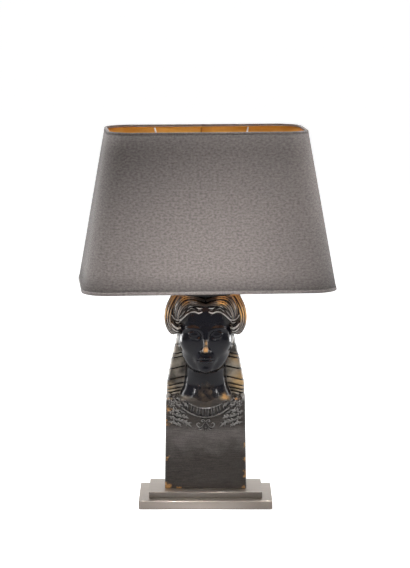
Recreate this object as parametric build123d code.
from build123d import *
import os
from math import cos, radians, sin, sqrt

# Table lamp: a carved herm bust on a stepped metal plinth, with an E27 lampholder, a candle
# bulb and a rounded rectangular shade. Millimetres, +Z up, the figure faces -Y, and the origin
# lies on the table under the tie rod.

# General fits
SEAT_GAP = 0.1
RUN_GAP = 0.3
EDGE_R = 0.8

# Plinth
FELT_T = 1.0
FELT_INSET = 1.5
SHEET = 2.0
LOWER_W = 240.0
LOWER_D = 136.0
LOWER_H = 15.0
STEP_INSET = 18.0
UPPER_H = 12.0
BALLAST_T = 10.0
BALLAST_GAP = 2.5
FILLER_GAP = 0.3
POCKET_R = 15.0
POCKET_DEPTH = 6.0

# Cable inlet
INLET_BORE_R = 3.6
INLET_BARREL_R = 5.0
INLET_FLANGE_R = 6.0
INLET_FLANGE_T = 1.6
LEAD_SLOT_W = 14.0
LEAD_SLOT_H = 8.4

# Tie rod and its fastenings
ROD_R = 5.0
ROD_BORE_R = 3.5
ROD_TAIL = 1.5
ROD_HOLE_GAP = 0.3
WASHER_R = 12.0
WASHER_T = 1.5
NUT_FLATS = 17.0
NUT_H = 5.0
SCREW_R = 2.5
SCREW_HEAD_R = 5.0
SCREW_HEAD_H = 2.2
SCREW_SLOT_W = 1.0
SCREW_BITE = 24.0
SCREW_SPAN = 92.0
SCREW_Y = 8.0

# Figure block
BLOCK_W = 148.0
BLOCK_TOP_W = 144.0
BLOCK_D = 64.0
BLOCK_FRONT = -25.0
BLOCK_H = 158.0
BLOCK_CORNER_R = 9.0

# Figure bust
NECK_RISE = 58.0
NECK_W = 72.0
NECK_D = 58.0
NECK_FRONT = -24.0
HEAD_H = 140.0
HEAD_W = 98.0
HEAD_D = 108.0
HEAD_Y = -2.0
HAIR_W = 148.0
HAIR_LOCKS = 5
LOCK_R = 10.0
VEIL_T = 46.0
VEIL_GROOVES = 7
GROOVE_W = 2.6
GROOVE_DEPTH = 1.6
GROOVE_SLOPE = 13.0
COLLAR_R = 5.5
COLLAR_SAG = 30.0
COLLAR_SPAN = 108.0
COLLAR_RISE = 10.0
COLLAR_BACK = 9.0
BEADS = 8
BEAD_R = 3.4
BEAD_FAN = 50.0
LEAVES = 4
LEAF_L = 27.0
LEAF_W = 13.0
LEAF_T = 7.0
LEAF_SINK = 0.8
LEAF_DROP = 12.0
LEAF_CLIMB = 16.0
LEAF_TILT = 10.0
LEAF_FAN = 28.0
PETALS = 3
PETAL_L = 24.0
PETAL_W = 9.0
PETAL_FAN = 34.0

# Crown
CROWN_R = 50.0
CROWN_T = 7.0
CROWN_EDGE_R = 2.0
CROWN_WASHER_R = 15.0
CROWN_WASHER_T = 2.0

# Lampholder
HOLDER_R = 20.0
HOLDER_WALL = 2.5
HOLDER_NECK_R = 9.0
HOLDER_NECK_H = 8.0
DOME_H = 26.0
SHOULDER_RISE = 9.0
SHOULDER_R = 25.0
SHOULDER_T = 3.0
THREAD_H = 22.0
INSERT_T = 9.0
INSERT_RISE = 2.0
INSERT_LIP = 6.0
SHELL_R = 13.6
SHELL_T = 0.5
SHELL_H = 24.0
CONTACT_W = 6.0
CONTACT_T = 0.6
CONTACT_H = 4.0
TERMINAL_R = 2.5
TERMINAL_H = 3.0
TERMINAL_SPAN = 18.0

# Bulb
CAP_R = 13.2
CAP_H = 24.0
CAP_WALL = 1.0
CAP_RIDGES = 4
CAP_RIDGE_DEPTH = 1.2
INSULATOR_H = 2.5
INSULATOR_LAND = 0.8
TIP_R = 4.5
TIP_H = 1.2
GLASS_R = 16.5
GLASS_H = 76.0
GLASS_NECK_R = 11.6
GLASS_WALL = 1.0

# Shade
SHADE_BOTTOM_W = 450.0
SHADE_BOTTOM_D = 250.0
SHADE_TOP_W = 356.0
SHADE_TOP_D = 176.0
SHADE_CORNER_R = 45.0
SHADE_H = 278.0
SHADE_TURN = 5.0
COVER_T = 0.8
LINER_T = 0.6
TRIM_T = 0.5
BOTTOM_HEM = 5.0
TOP_HEM = 3.6
WIRE_R = 1.6
ARM_R = 1.5
ARM_SPREAD = 86.0
ARM_TOE = 8.0
ARM_BEND_R = 6.0
FITTER_RISE = 35.0
FITTER_BORE_R = 21.0
FITTER_R = 31.0
FITTER_T = 1.6
RING_R = 27.0
RING_H = 6.5
RING_NOTCHES = 24
RING_NOTCH_R = 0.9

# Levels, from the table up
LOWER_Z = FELT_T
UPPER_Z = LOWER_Z + LOWER_H
FIGURE_Z = UPPER_Z + UPPER_H
ROOF_Z = UPPER_Z - SHEET
INLET_Z = ROOF_Z - INLET_FLANGE_R - SEAT_GAP
BALLAST_Z = ROOF_Z - BALLAST_T
POCKET_Z = BALLAST_Z + POCKET_DEPTH
SHOULDER_Z = FIGURE_Z + BLOCK_H
CHIN_Z = SHOULDER_Z + NECK_RISE
CROWN_Z = CHIN_Z + HEAD_H
CROWN_WASHER_Z = CROWN_Z + CROWN_T
LOCK_NUT_Z = CROWN_WASHER_Z + CROWN_WASHER_T
HOLDER_Z = LOCK_NUT_Z + NUT_H
ROD_TOP_Z = HOLDER_Z + HOLDER_NECK_H
SKIRT_Z = HOLDER_Z + DOME_H
SEAT_Z = SKIRT_Z + SHOULDER_RISE + SHOULDER_T
INSERT_Z = SKIRT_Z - INSERT_T + INSERT_RISE
SOCKET_Z = INSERT_Z + INSERT_T
EYELET_Z = SOCKET_Z + CONTACT_H + SEAT_GAP
CAP_Z = EYELET_Z + TIP_H + INSULATOR_H
GLASS_Z = CAP_Z + CAP_H
SHADE_Z = SEAT_Z - FITTER_RISE
SHADE_TOP_Z = SHADE_Z + SHADE_H
RING_Z = SEAT_Z + FITTER_T

# Shared widths
UPPER_W = LOWER_W - 2 * STEP_INSET
UPPER_D = LOWER_D - 2 * STEP_INSET
BLOCK_Y = BLOCK_FRONT + BLOCK_D / 2
BLOCK_BACK = BLOCK_FRONT + BLOCK_D
ROD_HOLE_R = ROD_R + ROD_HOLE_GAP
SCREW_HOLE_R = SCREW_R + SEAT_GAP
LAMINATE = COVER_T + LINER_T
SCREW_XS = (-SCREW_SPAN / 2, SCREW_SPAN / 2)
SIDES = (-1, 1)
UPRIGHT = (Align.CENTER, Align.CENTER, Align.MIN)


# Shared shapes
def slab(width, depth, height, z, y=0.0):
    return Pos(0, y, z) * Box(width, depth, height, align=UPRIGHT)


def post(radius, z0, z1, x=0.0, y=0.0):
    return Pos(x, y, z0) * Cylinder(radius, z1 - z0, align=UPRIGHT)


def ring(outer, inner, z0, z1):
    return post(outer, z0, z1) - post(inner, z0, z1)


def turned(points):
    return revolve(make_face(Plane.XZ * Polyline(*points, close=True)), Axis.Z)


def hex_nut(z):
    body = Pos(0, 0, z) * extrude(RegularPolygon(NUT_FLATS / 2, 6, major_radius=False), NUT_H)
    return body - post(ROD_R + SEAT_GAP, z, z + NUT_H)


def blob(rx, ry, rz):
    return scale(Sphere(1), by=(rx, ry, rz))


def tube(points, radius):
    path = Spline(*points)
    return sweep(Plane(origin=path @ 0, z_dir=path % 0) * Circle(radius), path=path)


def screw_holes(z0, z1):
    return [post(SCREW_HOLE_R, z0, z1, x, SCREW_Y) for x in SCREW_XS]


# Plinth
def tray(width, depth, height, z):
    shell = slab(width, depth, height, z)
    rims = shell.edges().filter_by(Axis.Z) + shell.faces().sort_by(Axis.Z)[-1].edges()
    shell = fillet(rims, EDGE_R)
    shell -= slab(width - 2 * SHEET, depth - 2 * SHEET, height - SHEET, z)
    shell -= post(ROD_HOLE_R, z, z + height)
    return shell - screw_holes(z, z + height)


def plinth_lower_step():
    hole = Pos(0, LOWER_D / 2, INLET_Z) * Rot(90, 0, 0) * Cylinder(INLET_BARREL_R + SEAT_GAP, 3 * SHEET)
    return tray(LOWER_W, LOWER_D, LOWER_H, LOWER_Z) - hole


def ballast_plate():
    inner_w = LOWER_W - 2 * (SHEET + BALLAST_GAP)
    inner_d = LOWER_D - 2 * (SHEET + BALLAST_GAP)
    plate = slab(inner_w, inner_d, BALLAST_T, BALLAST_Z)
    plate -= post(POCKET_R, BALLAST_Z, POCKET_Z)
    plate -= post(ROD_HOLE_R, BALLAST_Z, ROOF_Z)
    plate -= slab(LEAD_SLOT_W, inner_d / 2, LEAD_SLOT_H, BALLAST_Z, inner_d / 4)
    return plate - screw_holes(BALLAST_Z, ROOF_Z)


def plinth_filler():
    inner_w = UPPER_W - 2 * (SHEET + FILLER_GAP)
    inner_d = UPPER_D - 2 * (SHEET + FILLER_GAP)
    board = slab(inner_w, inner_d, UPPER_H - SHEET, UPPER_Z)
    board -= post(ROD_HOLE_R, UPPER_Z, FIGURE_Z)
    return board - screw_holes(UPPER_Z, FIGURE_Z)


def cable_grommet():
    wall = LOWER_D / 2 - SHEET
    inner_flange = Cylinder(INLET_FLANGE_R - SEAT_GAP, INLET_FLANGE_T, align=UPRIGHT)
    barrel = Pos(0, 0, INLET_FLANGE_T) * Cylinder(INLET_BARREL_R, SHEET, align=UPRIGHT)
    outer_flange = Pos(0, 0, INLET_FLANGE_T + SHEET) * Cylinder(INLET_FLANGE_R, INLET_FLANGE_T, align=UPRIGHT)
    bush = inner_flange + barrel + outer_flange
    bush -= Cylinder(INLET_BORE_R, 3 * SHEET + 2 * INLET_FLANGE_T, align=UPRIGHT)
    return Pos(0, wall - INLET_FLANGE_T, INLET_Z) * Rot(-90, 0, 0) * bush


def figure_screws():
    screws = []
    for x in SCREW_XS:
        head = post(SCREW_HEAD_R, BALLAST_Z - SCREW_HEAD_H, BALLAST_Z, x, SCREW_Y)
        shank = post(SCREW_R, BALLAST_Z, FIGURE_Z + SCREW_BITE, x, SCREW_Y)
        slot = Pos(x, SCREW_Y, BALLAST_Z - SCREW_HEAD_H) * Box(2 * SCREW_HEAD_R, SCREW_SLOT_W, SCREW_HEAD_H)
        screws.append(head + shank - slot)
    return Compound(children=screws)


# Figure, carved as one half and mirrored, with the head in shares of its own height, width and depth
SKULL_ROWS = (
    (0.0, 0.34, 0.26, -0.29),
    (0.06, 0.54, 0.44, -0.24),
    (0.2, 0.76, 0.72, -0.13),
    (0.4, 0.93, 0.93, -0.045),
    (0.6, 1.0, 1.0, -0.01),
    (0.8, 0.96, 0.97, 0.0),
    (1.0, 0.78, 0.8, 0.02),
)


def head_z(share):
    return CHIN_Z + share * HEAD_H


def oval(width, depth, y, z):
    return Pos(0, y, z) * Ellipse(width / 2, depth / 2)


def on_face(x, share, lift):
    above = next(row for row in SKULL_ROWS[1:] if row[0] >= share)
    below = SKULL_ROWS[SKULL_ROWS.index(above) - 1]
    blend = (share - below[0]) / (above[0] - below[0])
    width, depth, y = [low + blend * (high - low) for low, high in zip(below[1:], above[1:])]
    bulge = sqrt(max(0.0, 1 - (2 * x / (width * HEAD_W)) ** 2))
    return (x, HEAD_Y + (y - depth / 2 * bulge) * HEAD_D - lift, head_z(share))


def figure_block():
    foot = Pos(0, BLOCK_Y, FIGURE_Z) * RectangleRounded(BLOCK_W, BLOCK_D, BLOCK_CORNER_R)
    top = Pos(0, BLOCK_Y, SHOULDER_Z) * RectangleRounded(BLOCK_TOP_W, BLOCK_D, BLOCK_CORNER_R)
    return loft([foot, top], ruled=True)


def veil_form(inset):
    rises = ((0.0, 1.0), (0.16, 0.975), (0.35, 0.87), (0.56, 0.73), (0.76, 0.68), (0.92, 0.6))
    sections = []
    for rise, share in rises:
        z = SHOULDER_Z + rise * (CROWN_Z - SHOULDER_Z)
        width = share * BLOCK_TOP_W - 2 * inset
        centre = BLOCK_BACK - VEIL_T / 2 - (1 - share) * VEIL_T / 6
        radius = BLOCK_CORNER_R + (1 - share) * VEIL_T / 2 - inset
        sections.append(Pos(0, centre, z) * RectangleRounded(width, VEIL_T - 2 * inset, radius))
    return loft(sections)


def veil():
    pitch = (head_z(0.4) - SHOULDER_Z) / VEIL_GROOVES
    blade = Pos(BLOCK_TOP_W / 3, BLOCK_Y, 0) * Rot(0, GROOVE_SLOPE, 0) * Box(BLOCK_W, BLOCK_W, GROOVE_W)
    blades = [Pos(0, 0, SHOULDER_Z + (row + 0.5) * pitch) * blade for row in range(VEIL_GROOVES)]
    core = veil_form(GROOVE_DEPTH)
    return veil_form(0.0) - [cutter - core for cutter in blades]


def neck():
    rows = ((-0.22, 1.55, 1.0, 4.0), (0.2, 1.12, 1.0, 2.0), (0.75, 0.95, 1.0, 0.0), (1.35, 0.95, 1.05, 0.0))
    sections = []
    for rise, width, depth, back in rows:
        y = NECK_FRONT + NECK_D / 2 + back
        sections.append(oval(width * NECK_W, depth * NECK_D, y, SHOULDER_Z + rise * NECK_RISE))
    return loft(sections)


def skull():
    return loft([oval(w * HEAD_W, d * HEAD_D, HEAD_Y + y * HEAD_D, head_z(z)) for z, w, d, y in SKULL_ROWS])


def face():
    eye = HEAD_W / 5
    root = on_face(0, 0.57, 0)
    ridge = on_face(0, 0.42, 0.25 * eye)
    base = on_face(0, 0.29, 0.2 * eye)
    nose = loft([
        oval(0.4 * eye, 0.5 * eye, root[1], root[2]),
        oval(0.55 * eye, 0.8 * eye, ridge[1], ridge[2]),
        oval(0.95 * eye, 1.0 * eye, base[1], base[2]),
    ])
    tip = Pos(on_face(0, 0.315, 0.42 * eye)) * Sphere(0.32 * eye)
    wing = Pos(on_face(0.38 * eye, 0.31, 0.12 * eye)) * Sphere(0.22 * eye)
    chin = Pos(on_face(0, 0.06, -0.15 * eye)) * blob(0.55 * eye, 0.35 * eye, 0.4 * eye)
    upper_lip = [on_face(x * eye, 0.19, 0.05 * eye) for x in (-0.8, 0.0, 0.8)]
    lower_lip = [on_face(x * eye, 0.162 + 0.01 * abs(x), 0.03 * eye) for x in (-0.7, 0.0, 0.7)]
    ball = Pos(on_face(eye, 0.5, -0.5 * eye)) * Sphere(0.5 * eye)
    brow = [on_face(x * eye, z, 0) for x, z in ((0.3, 0.565), (1.0, 0.6), (1.8, 0.57))]
    lid = [on_face(x * eye, z, -0.02 * eye) for x, z in ((0.52, 0.49), (1.0, 0.53), (1.52, 0.49))]
    tubes = [(upper_lip, 0.15), (lower_lip, 0.17), (brow, 0.16), (lid, 0.09)]
    return [nose, tip, wing, chin, ball] + [tube(points, share * eye) for points, share in tubes]


def socket():
    eye = HEAD_W / 5
    return Pos(on_face(eye, 0.505, 0.1 * eye)) * blob(0.62 * eye, 0.45 * eye, 0.36 * eye)


def hair():
    rows = (
        (0.5, 0.8, 0.7, 0.16),
        (0.58, 0.97, 0.82, 0.09),
        (0.68, 0.99, 0.98, 0.02),
        (0.85, 0.91, 1.02, 0.0),
        (1.0, 0.78, 0.9, 0.02),
    )
    cap = loft([oval(w * HAIR_W, d * HEAD_D, HEAD_Y + y * HEAD_D, head_z(z)) for z, w, d, y in rows])
    window = Pos(0, HEAD_Y - 0.55 * HEAD_D, head_z(0.5)) * blob(0.44 * HEAD_W, 0.42 * HEAD_D, 0.37 * HEAD_H)
    locks = []
    for row in range(HAIR_LOCKS):
        share = row / (HAIR_LOCKS - 1)
        start = (LOCK_R / 2, HEAD_Y - (0.44 - 0.5 * share) * HEAD_D, head_z(0.88 + 0.04 * share))
        bend = (0.36 * HAIR_W, HEAD_Y - (0.36 - 0.46 * share) * HEAD_D, head_z(0.83 + 0.05 * share))
        end = (0.435 * HAIR_W, HEAD_Y - (0.16 - 0.42 * share) * HEAD_D, head_z(0.57))
        locks.append(tube([start, bend, end], LOCK_R))
    bun = Pos(0.42 * HAIR_W, HEAD_Y, head_z(0.6)) * blob(LOCK_R, 2 * LOCK_R, LOCK_R)
    return cap - window, locks + [bun]


def collar_point(share, lift=0.0):
    x = share * COLLAR_SPAN / 2
    y = BLOCK_FRONT - COLLAR_R / 2 + COLLAR_BACK * share**2
    return (x, y, SHOULDER_Z + COLLAR_RISE - COLLAR_SAG * (1 - share**2) + lift)


def collar():
    rope = tube([collar_point(share) for share in (-1.0, -0.55, 0.0, 0.55, 1.0)], COLLAR_R)
    beads = []
    for count in range(BEADS):
        share = 0.92 * (count + 0.5) / BEADS
        x, y, z = collar_point(share)
        bead = Rot(0, -BEAD_FAN * share, 0) * blob(BEAD_R * 0.75, BEAD_R, BEAD_R * 1.7)
        beads.append(Pos(x, y - COLLAR_R * 0.75, z) * bead)
    return [rope] + beads


def leaves():
    y = BLOCK_FRONT + LEAF_SINK
    shapes = []
    for count in range(LEAVES):
        share = count / (LEAVES - 1)
        x = (0.24 + 0.12 * share) * BLOCK_TOP_W
        leaf = Pos(0, 0, -LEAF_L / 2) * blob(LEAF_W / 2, LEAF_T / 2, LEAF_L / 2)
        z = SHOULDER_Z - LEAF_DROP + LEAF_CLIMB * share
        shapes.append(Pos(x, y, z) * Rot(0, -LEAF_TILT - LEAF_FAN * share, 0) * leaf)
    foot_z = collar_point(0.0, -COLLAR_R)[2]
    for count in range(PETALS):
        petal = Pos(0, 0, -PETAL_L / 2 - BEAD_R) * blob(PETAL_W / 2, LEAF_T / 2, PETAL_L / 2)
        shapes.append(Pos(0, y, foot_z) * Rot(0, -PETAL_FAN * count, 0) * petal)
    return shapes


def herm_figure():
    cap, locks = hair()
    head = skull() + cap
    for piece in locks:
        head += piece
    head -= socket()
    for piece in face():
        head += piece
    chest = figure_block()
    for piece in collar() + leaves():
        chest += piece
    half_box = Pos(BLOCK_W, BLOCK_Y, FIGURE_Z) * Box(2 * BLOCK_W, 4 * BLOCK_D, CROWN_Z - FIGURE_Z, align=UPRIGHT)
    half = (chest & half_box) + (neck() & half_box)
    half += veil() & half_box
    half += head & half_box
    body = half + mirror(half, about=Plane.YZ)
    body -= post(ROD_HOLE_R, FIGURE_Z, CROWN_Z)
    return body - screw_holes(FIGURE_Z, FIGURE_Z + SCREW_BITE + SEAT_GAP)


# Crown
def crown_plate():
    disc = post(CROWN_R, CROWN_Z, CROWN_WASHER_Z)
    disc = fillet(disc.edges(), CROWN_EDGE_R)
    return disc - post(ROD_HOLE_R, CROWN_Z, CROWN_WASHER_Z)


# Lampholder
def holder_dome():
    inner = HOLDER_R - HOLDER_WALL
    foot_r = ROD_R + SEAT_GAP
    waist_z = HOLDER_Z + HOLDER_NECK_H
    return turned([
        (foot_r, HOLDER_Z),
        (HOLDER_NECK_R, HOLDER_Z),
        (HOLDER_NECK_R, waist_z),
        (HOLDER_R * 0.75, waist_z + HOLDER_WALL),
        (HOLDER_R, waist_z + 3 * HOLDER_WALL),
        (HOLDER_R, SKIRT_Z),
        (inner, SKIRT_Z),
        (inner, waist_z + 3 * HOLDER_WALL),
        (inner * 0.75, waist_z + 2 * HOLDER_WALL),
        (foot_r, waist_z + 2 * HOLDER_WALL),
    ])


def holder_insert():
    outer = HOLDER_R - HOLDER_WALL - SEAT_GAP
    floor = post(outer, INSERT_Z, SOCKET_Z)
    lip = ring(outer, SHELL_R + SHELL_T + SEAT_GAP, SOCKET_Z, SOCKET_Z + INSERT_LIP)
    for side in SIDES:
        floor -= post(TERMINAL_R / 2 + SEAT_GAP, INSERT_Z, SOCKET_Z, side * TERMINAL_SPAN / 2)
    return floor + lip


def terminal_screws():
    screws = []
    for side in SIDES:
        x = side * TERMINAL_SPAN / 2
        head = post(TERMINAL_R, INSERT_Z - TERMINAL_H, INSERT_Z, x)
        shank = post(TERMINAL_R / 2, INSERT_Z, SOCKET_Z - SEAT_GAP, x)
        screws.append(head + shank)
    return Compound(children=screws)


def centre_contact():
    foot = Pos(-CONTACT_W, 0, SOCKET_Z) * Box(CONTACT_W, CONTACT_W, CONTACT_T, align=UPRIGHT)
    riser_x = -CONTACT_W * 1.5 + CONTACT_T / 2
    riser = Pos(riser_x, 0, SOCKET_Z) * Box(CONTACT_T, CONTACT_W, CONTACT_H, align=UPRIGHT)
    reach = Pos(-CONTACT_W / 2, 0, SOCKET_Z + CONTACT_H - CONTACT_T)
    tongue = reach * Box(CONTACT_W * 2, CONTACT_W, CONTACT_T, align=UPRIGHT)
    return foot + riser + tongue


def holder_skirt():
    inner = HOLDER_R - HOLDER_WALL
    throat = SHELL_R + SHELL_T + RUN_GAP
    shoulder_z = SEAT_Z - SHOULDER_T
    ledge_z = SOCKET_Z + INSERT_LIP + SEAT_GAP
    top_z = SEAT_Z + THREAD_H
    return turned([
        (inner, SKIRT_Z),
        (HOLDER_R, SKIRT_Z),
        (HOLDER_R, shoulder_z),
        (SHOULDER_R, shoulder_z),
        (SHOULDER_R, SEAT_Z),
        (HOLDER_R, SEAT_Z),
        (HOLDER_R, top_z - EDGE_R),
        (HOLDER_R - EDGE_R, top_z),
        (throat, top_z),
        (throat, ledge_z),
        (inner, ledge_z),
    ])


# Bulb
def bulb_cap():
    pitch = CAP_H / (CAP_RIDGES + 1)
    crest = CAP_R
    root = CAP_R - CAP_RIDGE_DEPTH
    points = [(root - CAP_WALL, CAP_Z), (root, CAP_Z)]
    for count in range(CAP_RIDGES):
        z = CAP_Z + count * pitch
        points += [(root, z + 0.15 * pitch), (crest, z + 0.4 * pitch)]
        points += [(crest, z + 0.6 * pitch), (root, z + 0.85 * pitch)]
    points += [(root, GLASS_Z - 0.6 * pitch), (crest, GLASS_Z - 0.4 * pitch)]
    points += [(crest, GLASS_Z), (root - CAP_WALL, GLASS_Z)]
    return turned(points)


def bulb_insulator():
    root = CAP_R - CAP_RIDGE_DEPTH
    plug_z = CAP_Z + 2 * INSULATOR_H
    return turned([
        (0, CAP_Z - INSULATOR_H),
        (TIP_R + INSULATOR_LAND, CAP_Z - INSULATOR_H),
        (root - CAP_WALL, CAP_Z),
        (root - CAP_WALL - SEAT_GAP, CAP_Z),
        (root - CAP_WALL - SEAT_GAP, plug_z),
        (0, plug_z),
    ])


def bulb_contact():
    return post(TIP_R, EYELET_Z, EYELET_Z + TIP_H)


def glass_profile(inset):
    tip_z = GLASS_Z + GLASS_H - inset
    belly_z = GLASS_Z + 0.4 * GLASS_H
    return Spline(
        (GLASS_NECK_R - inset, GLASS_Z),
        (GLASS_R - inset, belly_z),
        (0.62 * GLASS_R - inset, GLASS_Z + 0.8 * GLASS_H),
        (0, tip_z),
        tangents=((0.25, 1.0), (-1.0, 0.0)),
    )


def bulb_glass():
    outer = glass_profile(0.0)
    inner = glass_profile(GLASS_WALL)
    rim = Line(inner @ 0, outer @ 0)
    pole = Line(outer @ 1, inner @ 1)
    return revolve(make_face(Plane.XZ * Curve(children=[outer, pole, inner, rim])), Axis.Z)


# Shade, built square to the plinth and then turned on its fitting as it stands
def shade_size(z):
    share = (z - SHADE_Z) / SHADE_H
    width = SHADE_BOTTOM_W + share * (SHADE_TOP_W - SHADE_BOTTOM_W)
    depth = SHADE_BOTTOM_D + share * (SHADE_TOP_D - SHADE_BOTTOM_D)
    return width, depth


def shade_section(z, inset):
    width, depth = shade_size(z)
    return Pos(0, 0, z) * RectangleRounded(width - 2 * inset, depth - 2 * inset, SHADE_CORNER_R - inset)


def shade_form(inset, z0, z1):
    return loft([shade_section(z0, inset), shade_section(z1, inset)], ruled=True)


def sheet(inset, thickness, z0, z1):
    return shade_form(inset, z0, z1) - shade_form(inset + thickness, z0, z1)


def wire_inset():
    return LAMINATE + SEAT_GAP + WIRE_R


def rim_wire(z):
    path = shade_section(z, wire_inset()).wire()
    return sweep(Plane(origin=path @ 0, z_dir=path % 0) * Circle(WIRE_R), path=path)


def edge_trim(z, inward, hem):
    inner = LAMINATE + 2 * (WIRE_R + SEAT_GAP)
    leg_z = z + inward * hem
    lip_z = z - inward * TRIM_T
    low, high = sorted((leg_z, lip_z))
    hollow_low, hollow_high = sorted((leg_z, z))
    band = sheet(-TRIM_T - SEAT_GAP, 2 * TRIM_T + SEAT_GAP + inner, low, high)
    return band - sheet(-SEAT_GAP, SEAT_GAP + inner, hollow_low, hollow_high)


def wire_levels():
    return SHADE_Z + WIRE_R + SEAT_GAP, SHADE_TOP_Z - WIRE_R - SEAT_GAP


def arm_path(sx, sy):
    wire_z = wire_levels()[1]
    depth = shade_size(wire_z)[1] / 2 - wire_inset()
    toe_z = SEAT_Z + FITTER_T / 2
    top = Vector(sx * ARM_SPREAD, sy * depth, wire_z)
    out = Vector(sx * ARM_SPREAD, sy * depth, 0).normalized()
    toe = out * (FITTER_R + SEAT_GAP) + Vector(0, 0, toe_z)
    knee = out * (FITTER_R + ARM_TOE) + Vector(0, 0, toe_z)
    rise = (top - knee).normalized()
    end = top - rise * (WIRE_R + ARM_R + 2 * SEAT_GAP)
    return FilletPolyline(toe, knee, end, radius=ARM_BEND_R)


def spider_arm(sx, sy, radius):
    path = arm_path(sx, sy)
    return sweep(Plane(origin=path @ 0, z_dir=path % 0) * Circle(radius), path=path)


def spider(radius):
    return [spider_arm(sx, sy, radius) for sx in SIDES for sy in SIDES]


def shade_ring():
    body = ring(RING_R, HOLDER_R + SEAT_GAP, RING_Z, RING_Z + RING_H)
    notches = []
    for count in range(RING_NOTCHES):
        angle = radians(360 * count / RING_NOTCHES)
        notches.append(post(RING_NOTCH_R, RING_Z, RING_Z + RING_H, RING_R * cos(angle), RING_R * sin(angle)))
    return body - notches


PARTS = {
    "base_felt": slab(LOWER_W - 2 * FELT_INSET, LOWER_D - 2 * FELT_INSET, FELT_T, 0),
    "plinth_lower_step": plinth_lower_step(),
    "plinth_upper_step": tray(UPPER_W, UPPER_D, UPPER_H, UPPER_Z),
    "ballast_plate": ballast_plate(),
    "plinth_filler": plinth_filler(),
    "cable_grommet": cable_grommet(),
    "tie_rod": ring(ROD_R, ROD_BORE_R, FELT_T + ROD_TAIL, ROD_TOP_Z),
    "base_washer": ring(WASHER_R, ROD_HOLE_R, POCKET_Z - WASHER_T, POCKET_Z),
    "base_nut": hex_nut(POCKET_Z - WASHER_T - NUT_H),
    "figure_screws": figure_screws(),
    "herm_figure": herm_figure(),
    "crown_plate": crown_plate(),
    "crown_washer": ring(CROWN_WASHER_R, ROD_HOLE_R, CROWN_WASHER_Z, LOCK_NUT_Z),
    "lock_nut": hex_nut(LOCK_NUT_Z),
    "holder_dome": holder_dome(),
    "holder_insert": holder_insert(),
    "screw_shell": ring(SHELL_R + SHELL_T, SHELL_R, SOCKET_Z, SOCKET_Z + SHELL_H),
    "centre_contact": centre_contact(),
    "terminal_screws": terminal_screws(),
    "holder_skirt": holder_skirt(),
    "bulb_cap": bulb_cap(),
    "bulb_insulator": bulb_insulator(),
    "bulb_contact": bulb_contact(),
    "bulb_glass": bulb_glass(),
    "shade_ring": shade_ring(),
}

SHADE_PARTS = {
    "fitter_ring": ring(FITTER_R, FITTER_BORE_R, SEAT_Z, SEAT_Z + FITTER_T),
    "spider_arms": Compound(children=spider(ARM_R)),
    "bottom_wire": rim_wire(wire_levels()[0]),
    "top_wire": rim_wire(wire_levels()[1]),
    "shade_cover": sheet(0.0, COVER_T, SHADE_Z, SHADE_TOP_Z),
    "shade_liner": sheet(COVER_T, LINER_T, SHADE_Z, SHADE_TOP_Z),
    "bottom_trim": edge_trim(SHADE_Z, 1, BOTTOM_HEM),
    "top_trim": edge_trim(SHADE_TOP_Z, -1, TOP_HEM) - spider(ARM_R + SEAT_GAP),
}

for name, shape in SHADE_PARTS.items():
    PARTS[name] = Rot(0, 0, SHADE_TURN) * shape

os.makedirs("parts", exist_ok=True)
for name, shape in PARTS.items():
    export_step(shape, "parts/" + name + ".step")
